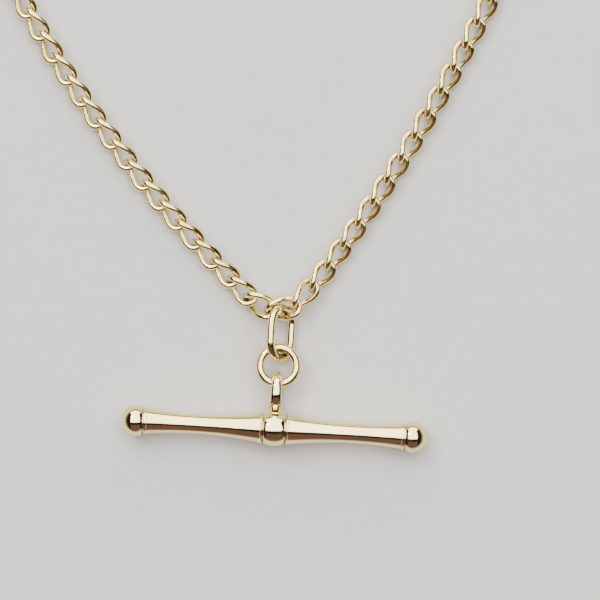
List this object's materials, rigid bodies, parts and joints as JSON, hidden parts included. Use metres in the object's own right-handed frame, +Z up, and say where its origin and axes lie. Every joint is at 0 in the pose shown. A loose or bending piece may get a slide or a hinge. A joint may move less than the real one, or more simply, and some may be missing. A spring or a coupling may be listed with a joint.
{
  "type": "pocket watch chain",
  "caption": "Curb-link pocket watch chain with a waisted T-bar hanging from two rings at its middle and a swivel clip at each end.",
  "frame": {"origin": "middle of the T-bar barrel, on the bar axis, 1.85 mm above the surface the chain lies on", "axes": "+X to the right along the surface, close to the T-bar; +Y along the surface from the T-bar towards the rings and the chain; +Z up, away from the surface"},
  "size_m": [0.1386, 0.1261, 0.0038],
  "materials": {
    "yellow_gold": null,
    "spring_steel": "drawn spring wire"
  },
  "bodies": {
    "centre_link": {"link_centre": "yellow_gold"},
    "drop_ring": {"drop_ring": "yellow_gold"},
    "jump_ring": {"jump_ring_round": "yellow_gold"},
    "t_bar": {"t_bar_barrel": "yellow_gold", "t_bar_core_rod": "yellow_gold", "t_bar_left_arm": "yellow_gold", "t_bar_left_collar": "yellow_gold", "t_bar_left_end_cap": "yellow_gold", "t_bar_loop": "yellow_gold", "t_bar_right_arm": "yellow_gold", "t_bar_right_collar": "yellow_gold", "t_bar_right_end_cap": "yellow_gold"},
    "left_01": {"link_l01": "yellow_gold"},
    "left_02": {"link_l02": "yellow_gold"},
    "left_03": {"link_l03": "yellow_gold"},
    "left_04": {"link_l04": "yellow_gold"},
    "left_05": {"link_l05": "yellow_gold"},
    "left_06": {"link_l06": "yellow_gold"},
    "left_07": {"link_l07": "yellow_gold"},
    "left_08": {"link_l08": "yellow_gold"},
    "left_09": {"link_l09": "yellow_gold"},
    "left_10": {"link_l10": "yellow_gold"},
    "left_11": {"link_l11": "yellow_gold"},
    "left_12": {"link_l12": "yellow_gold"},
    "left_13": {"link_l13": "yellow_gold"},
    "left_14": {"link_l14": "yellow_gold"},
    "left_15": {"link_l15": "yellow_gold"},
    "right_01": {"link_r01": "yellow_gold"},
    "right_02": {"link_r02": "yellow_gold"},
    "right_03": {"link_r03": "yellow_gold"},
    "right_04": {"link_r04": "yellow_gold"},
    "right_05": {"link_r05": "yellow_gold"},
    "right_06": {"link_r06": "yellow_gold"},
    "right_07": {"link_r07": "yellow_gold"},
    "right_08": {"link_r08": "yellow_gold"},
    "right_09": {"link_r09": "yellow_gold"},
    "right_10": {"link_r10": "yellow_gold"},
    "right_11": {"link_r11": "yellow_gold"},
    "right_12": {"link_r12": "yellow_gold"},
    "right_13": {"link_r13": "yellow_gold"},
    "left_run_a": {"run_left_a": "yellow_gold"},
    "left_run_b": {"run_left_b": "yellow_gold"},
    "left_run_c": {"run_left_c": "yellow_gold"},
    "left_end_ring": {"clip_left_end_ring": "yellow_gold"},
    "left_swivel_eye": {"clip_left_swivel_eye": "yellow_gold"},
    "left_clip": {"clip_left_hook_body": "yellow_gold", "clip_left_swivel_cap": "yellow_gold", "clip_left_rivet": "yellow_gold"},
    "left_lever": {"clip_left_lever": "yellow_gold", "clip_left_lever_spring": "spring_steel"},
    "right_run_a": {"run_right_a": "yellow_gold"},
    "right_run_b": {"run_right_b": "yellow_gold"},
    "right_run_c": {"run_right_c": "yellow_gold"},
    "right_end_ring": {"clip_right_end_ring": "yellow_gold"},
    "right_swivel_eye": {"clip_right_swivel_eye": "yellow_gold"},
    "right_clip": {"clip_right_hook_body": "yellow_gold", "clip_right_swivel_cap": "yellow_gold", "clip_right_rivet": "yellow_gold"},
    "right_lever": {"clip_right_lever": "yellow_gold", "clip_right_lever_spring": "spring_steel"}
  },
  "joints": [
    {"name": "drop_ring_swing", "type": "hinge", "parent": "centre_link", "child": "drop_ring", "pos_m": [0.00078, 0.01079, 0.00008], "axis": [0.813, -0.0438, 0.5807], "range_deg": [-25, 25]},
    {"name": "jump_ring_swing", "type": "hinge", "parent": "drop_ring", "child": "jump_ring", "pos_m": [0.00068, 0.00919, 0.00008], "axis": [0.813, -0.0438, 0.5807], "range_deg": [-25, 25]},
    {"name": "t_bar_swing", "type": "hinge", "parent": "jump_ring", "child": "t_bar", "pos_m": [0.00044, 0.00656, 0.00005], "axis": [-0.0026, -0.0061, 1], "range_deg": [-35, 35]},
    {"name": "left_01_sway", "type": "hinge", "parent": "centre_link", "child": "left_01", "pos_m": [-0.00026, 0.01274, -0.00022], "axis": [0, 0, 1], "range_deg": [0, 8]},
    {"name": "left_02_sway", "type": "hinge", "parent": "left_01", "child": "left_02", "pos_m": [-0.00247, 0.01371, -0.00052], "axis": [0, 0, 1], "range_deg": [-6, 10]},
    {"name": "left_03_lift", "type": "hinge", "parent": "left_02", "child": "left_03", "pos_m": [-0.00435, 0.01546, -0.00061], "axis": [0.722, 0.6919, 0], "range_deg": [0, 6]},
    {"name": "left_04_sway", "type": "hinge", "parent": "left_03", "child": "left_04", "pos_m": [-0.00621, 0.0174, -0.00061], "axis": [0, 0, -1], "range_deg": [-10, 10]},
    {"name": "left_05_lift", "type": "hinge", "parent": "left_04", "child": "left_05", "pos_m": [-0.00808, 0.01937, -0.00061], "axis": [0.7351, 0.678, 0], "range_deg": [0, 12]},
    {"name": "left_06_sway", "type": "hinge", "parent": "left_05", "child": "left_06", "pos_m": [-0.0099, 0.02139, -0.00061], "axis": [0, 0, 1], "range_deg": [-10, 10]},
    {"name": "left_07_lift", "type": "hinge", "parent": "left_06", "child": "left_07", "pos_m": [-0.01168, 0.02345, -0.00061], "axis": [-0.763, -0.6464, 0], "range_deg": [-12, 0]},
    {"name": "left_08_sway", "type": "hinge", "parent": "left_07", "child": "left_08", "pos_m": [-0.01342, 0.02554, -0.00061], "axis": [0, 0, -1], "range_deg": [-10, 10]},
    {"name": "left_09_lift", "type": "hinge", "parent": "left_08", "child": "left_09", "pos_m": [-0.01511, 0.02767, -0.00061], "axis": [0.7896, 0.6137, 0], "range_deg": [0, 12]},
    {"name": "left_10_sway", "type": "hinge", "parent": "left_09", "child": "left_10", "pos_m": [-0.01675, 0.02984, -0.00061], "axis": [0, 0, 1], "range_deg": [-10, 10]},
    {"name": "left_11_lift", "type": "hinge", "parent": "left_10", "child": "left_11", "pos_m": [-0.01835, 0.03204, -0.00061], "axis": [-0.8147, -0.5798, 0], "range_deg": [-12, 0]},
    {"name": "left_12_sway", "type": "hinge", "parent": "left_11", "child": "left_12", "pos_m": [-0.01991, 0.03427, -0.00061], "axis": [0, 0, -1], "range_deg": [-10, 10]},
    {"name": "left_13_lift", "type": "hinge", "parent": "left_12", "child": "left_13", "pos_m": [-0.02141, 0.03653, -0.00061], "axis": [0.8385, 0.5449, 0], "range_deg": [0, 12]},
    {"name": "left_14_sway", "type": "hinge", "parent": "left_13", "child": "left_14", "pos_m": [-0.02287, 0.03883, -0.00061], "axis": [0, 0, 1], "range_deg": [-10, 10]},
    {"name": "left_15_lift", "type": "hinge", "parent": "left_14", "child": "left_15", "pos_m": [-0.02428, 0.04116, -0.00061], "axis": [-0.8607, -0.5091, 0], "range_deg": [-12, 0]},
    {"name": "right_01_lift", "type": "hinge", "parent": "centre_link", "child": "right_01", "pos_m": [0.00203, 0.01326, -0.00009], "axis": [0.5533, -0.833, 0], "range_deg": [0, 8]},
    {"name": "right_02_sway", "type": "hinge", "parent": "right_01", "child": "right_02", "pos_m": [0.00398, 0.01492, -0.00034], "axis": [0, 0, -1], "range_deg": [-5, 10]},
    {"name": "right_03_lift", "type": "hinge", "parent": "right_02", "child": "right_03", "pos_m": [0.00567, 0.01696, -0.00059], "axis": [0.8034, -0.5955, 0], "range_deg": [0, 6]},
    {"name": "right_04_sway", "type": "hinge", "parent": "right_03", "child": "right_04", "pos_m": [0.00727, 0.01916, -0.00061], "axis": [0, 0, 1], "range_deg": [-10, 10]},
    {"name": "right_05_lift", "type": "hinge", "parent": "right_04", "child": "right_05", "pos_m": [0.00884, 0.02138, -0.00061], "axis": [0.8219, -0.5697, 0], "range_deg": [0, 12]},
    {"name": "right_06_sway", "type": "hinge", "parent": "right_05", "child": "right_06", "pos_m": [0.01037, 0.02363, -0.00061], "axis": [0, 0, -1], "range_deg": [-10, 10]},
    {"name": "right_07_lift", "type": "hinge", "parent": "right_06", "child": "right_07", "pos_m": [0.01186, 0.0259, -0.00061], "axis": [-0.8395, 0.5433, 0], "range_deg": [-12, 0]},
    {"name": "right_08_sway", "type": "hinge", "parent": "right_07", "child": "right_08", "pos_m": [0.01332, 0.0282, -0.00061], "axis": [0, 0, 1], "range_deg": [-10, 10]},
    {"name": "right_09_lift", "type": "hinge", "parent": "right_08", "child": "right_09", "pos_m": [0.01475, 0.03052, -0.00061], "axis": [0.8563, -0.5164, 0], "range_deg": [0, 12]},
    {"name": "right_10_sway", "type": "hinge", "parent": "right_09", "child": "right_10", "pos_m": [0.01613, 0.03286, -0.00061], "axis": [0, 0, -1], "range_deg": [-10, 10]},
    {"name": "right_11_lift", "type": "hinge", "parent": "right_10", "child": "right_11", "pos_m": [0.01748, 0.03522, -0.00061], "axis": [-0.8723, 0.489, 0], "range_deg": [-12, 0]},
    {"name": "right_12_sway", "type": "hinge", "parent": "right_11", "child": "right_12", "pos_m": [0.01879, 0.0376, -0.00061], "axis": [0, 0, 1], "range_deg": [-10, 10]},
    {"name": "right_13_lift", "type": "hinge", "parent": "right_12", "child": "right_13", "pos_m": [0.02006, 0.04, -0.00061], "axis": [0.8874, -0.461, 0], "range_deg": [0, 12]},
    {"name": "left_run_a_sway", "type": "hinge", "parent": "left_15", "child": "left_run_a", "pos_m": [-0.02565, 0.0435, -0.00061], "axis": [0, 0, 1], "range_deg": [-6, 6]},
    {"name": "left_run_b_sway", "type": "hinge", "parent": "left_run_a", "child": "left_run_b", "pos_m": [-0.06135, 0.05375, -0.00061], "axis": [0, 0, -1], "range_deg": [-6, 6]},
    {"name": "left_run_c_sway", "type": "hinge", "parent": "left_run_b", "child": "left_run_c", "pos_m": [-0.06525, 0.00841, -0.00061], "axis": [0, 0, 1], "range_deg": [-6, 6]},
    {"name": "left_end_ring_slide", "type": "hinge", "parent": "left_run_c", "child": "left_end_ring", "pos_m": [-0.06525, -0.0365, -0.00061], "axis": [-0.1219, 0.0139, -0.9924], "range_deg": [0, 25]},
    {"name": "left_swivel_eye_slide", "type": "hinge", "parent": "left_end_ring", "child": "left_swivel_eye", "pos_m": [-0.06525, -0.03793, -0.00023], "axis": [-0.6807, 0, 0.7325], "range_deg": [0, 25]},
    {"name": "left_swivel_spin", "type": "hinge", "parent": "left_swivel_eye", "child": "left_clip", "pos_m": [-0.06525, -0.03793, -0.00023], "axis": [0, -1, 0], "continuous": true},
    {"name": "left_lever_open", "type": "hinge", "parent": "left_clip", "child": "left_lever", "pos_m": [-0.067, -0.04488, -0.00023], "axis": [0, 0, 1], "range_deg": [0, 20], "stiffness_Nm_per_rad": 0.002, "springref_deg": -11.46},
    {"name": "right_run_a_sway", "type": "hinge", "parent": "right_13", "child": "right_run_a", "pos_m": [0.02131, 0.04242, -0.00061], "axis": [0, 0, 1], "range_deg": [-6, 6]},
    {"name": "right_run_b_sway", "type": "hinge", "parent": "right_run_a", "child": "right_run_b", "pos_m": [0.05244, 0.06967, -0.00061], "axis": [0, 0, -1], "range_deg": [-6, 6]},
    {"name": "right_run_c_sway", "type": "hinge", "parent": "right_run_b", "child": "right_run_c", "pos_m": [0.06518, 0.02917, -0.00061], "axis": [0, 0, 1], "range_deg": [-6, 6]},
    {"name": "right_end_ring_slide", "type": "hinge", "parent": "right_run_c", "child": "right_end_ring", "pos_m": [0.06518, -0.0155, -0.00047], "axis": [-0.5892, -0.0831, -0.8037], "range_deg": [0, 25]},
    {"name": "right_swivel_eye_slide", "type": "hinge", "parent": "right_end_ring", "child": "right_swivel_eye", "pos_m": [0.06518, -0.01712, -0.00023], "axis": [-0.4179, 0, 0.9085], "range_deg": [0, 25]},
    {"name": "right_swivel_spin", "type": "hinge", "parent": "right_swivel_eye", "child": "right_clip", "pos_m": [0.06518, -0.01712, -0.00023], "axis": [0, -1, 0], "continuous": true},
    {"name": "right_lever_open", "type": "hinge", "parent": "right_clip", "child": "right_lever", "pos_m": [0.06343, -0.02407, -0.00023], "axis": [0, 0, 1], "range_deg": [0, 20], "stiffness_Nm_per_rad": 0.002, "springref_deg": -11.46}
  ]
}
